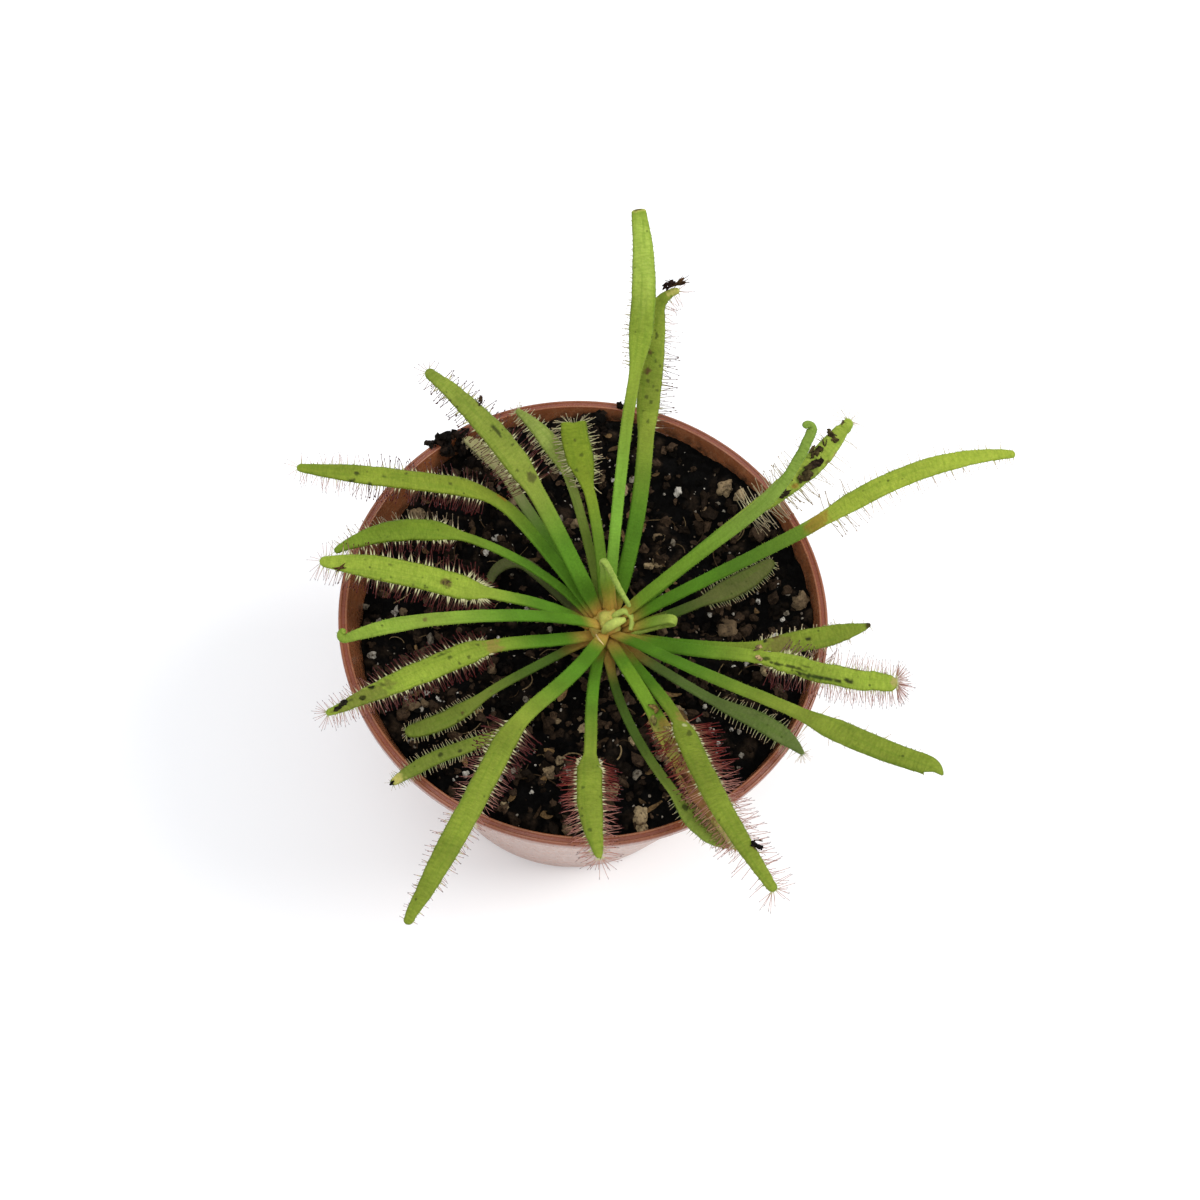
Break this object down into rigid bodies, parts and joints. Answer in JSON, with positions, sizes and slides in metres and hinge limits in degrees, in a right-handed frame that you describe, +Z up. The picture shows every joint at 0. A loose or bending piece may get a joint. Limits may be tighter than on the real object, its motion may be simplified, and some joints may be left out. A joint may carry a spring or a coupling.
{
  "type": "potted sundew plant",
  "caption": "Rosette of long strap leaves with gland-tipped tentacles, arching out of a round tapered nursery pot filled with soil.",
  "frame": {"origin": "centre of the pot's underside", "axes": "+Z up along the pot's axis, -Y towards the front of the plant, where the long narrow leaf hangs over the rim at the left"},
  "size_m": [0.1275, 0.1322, 0.1128],
  "materials": {
    "pot": "satin moulded plastic, terracotta brown",
    "soil": "damp dark potting mix with perlite and gravel",
    "crown": "living plant tissue, satin, standing in for plant",
    "leaf": "living plant tissue, satin, with red sticky tentacles",
    "dying_leaf": "withering plant tissue, dull yellow brown"
  },
  "bodies": {
    "root": {"pot": "pot", "soil": "soil", "crown": "crown", "leaf_back_tall": "leaf", "leaf_back_hooked": "leaf", "leaf_right_back_rolled": "leaf", "leaf_right_back": "leaf", "leaf_right_long": "leaf", "leaf_right_low": "leaf", "leaf_new_right": "leaf", "leaf_new_upright": "leaf", "leaf_right_bent": "leaf", "leaf_right_broad": "leaf", "leaf_right_front_long": "leaf", "leaf_right_front_low": "leaf", "leaf_front_right": "leaf", "leaf_front_right_dying": "dying_leaf", "leaf_front_right_low": "leaf", "leaf_front": "leaf", "leaf_front_left_long": "leaf", "leaf_front_left_low": "leaf", "leaf_left_front_low": "leaf", "leaf_left_front": "leaf", "leaf_left_rolled": "leaf", "leaf_left": "leaf", "leaf_left_arched": "leaf", "leaf_left_low": "leaf", "leaf_left_back_long": "leaf", "leaf_back_left_long": "leaf", "leaf_back_left_low": "leaf", "leaf_back_left_short": "leaf", "leaf_back_short": "leaf"}
  },
  "joints": []
}
